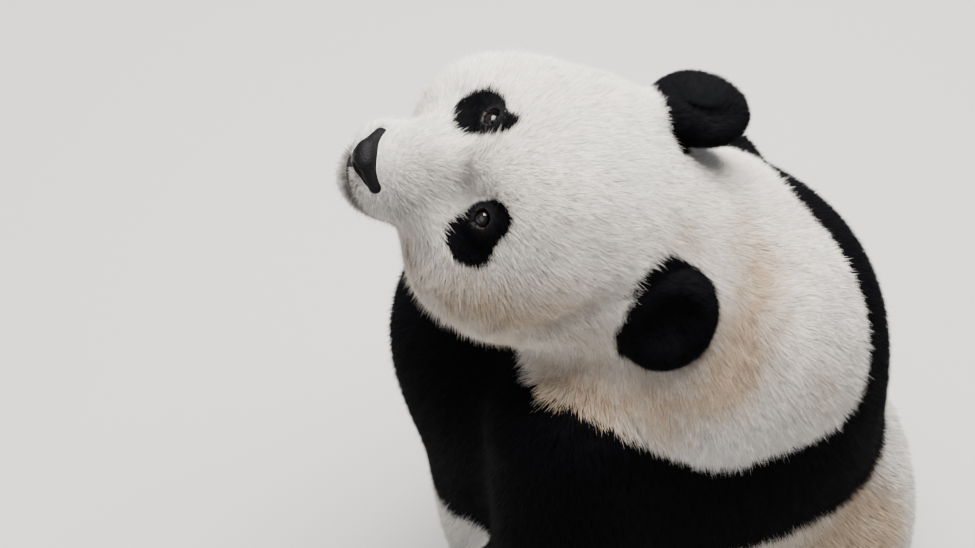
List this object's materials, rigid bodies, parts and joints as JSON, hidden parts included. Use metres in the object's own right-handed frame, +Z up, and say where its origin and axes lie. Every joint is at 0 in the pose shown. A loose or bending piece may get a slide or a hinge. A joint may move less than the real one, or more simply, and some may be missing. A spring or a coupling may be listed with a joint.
{
  "type": "giant panda, sitting, life-size still model",
  "caption": "Life-size giant panda sitting upright on its rump, head raised and turned to its left, knees out and forepaws over the shins.",
  "frame": {"origin": "on the floor, in the flat that the rump rests on", "axes": "+Z up; the trunk faces -Y; +X to the panda's own left side"},
  "size_m": [0.888, 0.6995, 0.9454],
  "materials": {
    "white_coat": "dense cream-white fur with a warm tan stain on the neck",
    "black_coat": "dense blue-black fur",
    "nose_skin": "moist black nose skin with fine pebbling",
    "eye": "glossy dark brown eye",
    "claw": "dark grey-brown horn"
  },
  "bodies": {
    "root": {"head": "white_coat", "lower_jaw": "white_coat", "neck": "white_coat", "belly": "white_coat", "rump": "white_coat", "tail": "white_coat", "chest": "black_coat", "ear_left": "black_coat", "ear_right": "black_coat", "upper_arm_left": "black_coat", "forearm_left": "black_coat", "forepaw_left": "black_coat", "thigh_left": "black_coat", "shank_left": "black_coat", "hindpaw_left": "black_coat", "upper_arm_right": "black_coat", "forearm_right": "black_coat", "forepaw_right": "black_coat", "thigh_right": "black_coat", "shank_right": "black_coat", "hindpaw_right": "black_coat", "nose": "nose_skin", "eye_left": "eye", "eye_right": "eye", "forepaw_claw_1_left": "claw", "forepaw_claw_2_left": "claw", "forepaw_claw_3_left": "claw", "forepaw_claw_4_left": "claw", "forepaw_claw_5_left": "claw", "forepaw_claw_1_right": "claw", "forepaw_claw_2_right": "claw", "forepaw_claw_3_right": "claw", "forepaw_claw_4_right": "claw", "forepaw_claw_5_right": "claw", "hindpaw_claw_1_left": "claw", "hindpaw_claw_2_left": "claw", "hindpaw_claw_3_left": "claw", "hindpaw_claw_4_left": "claw", "hindpaw_claw_5_left": "claw", "hindpaw_claw_1_right": "claw", "hindpaw_claw_2_right": "claw", "hindpaw_claw_3_right": "claw", "hindpaw_claw_4_right": "claw", "hindpaw_claw_5_right": "claw"}
  },
  "joints": []
}
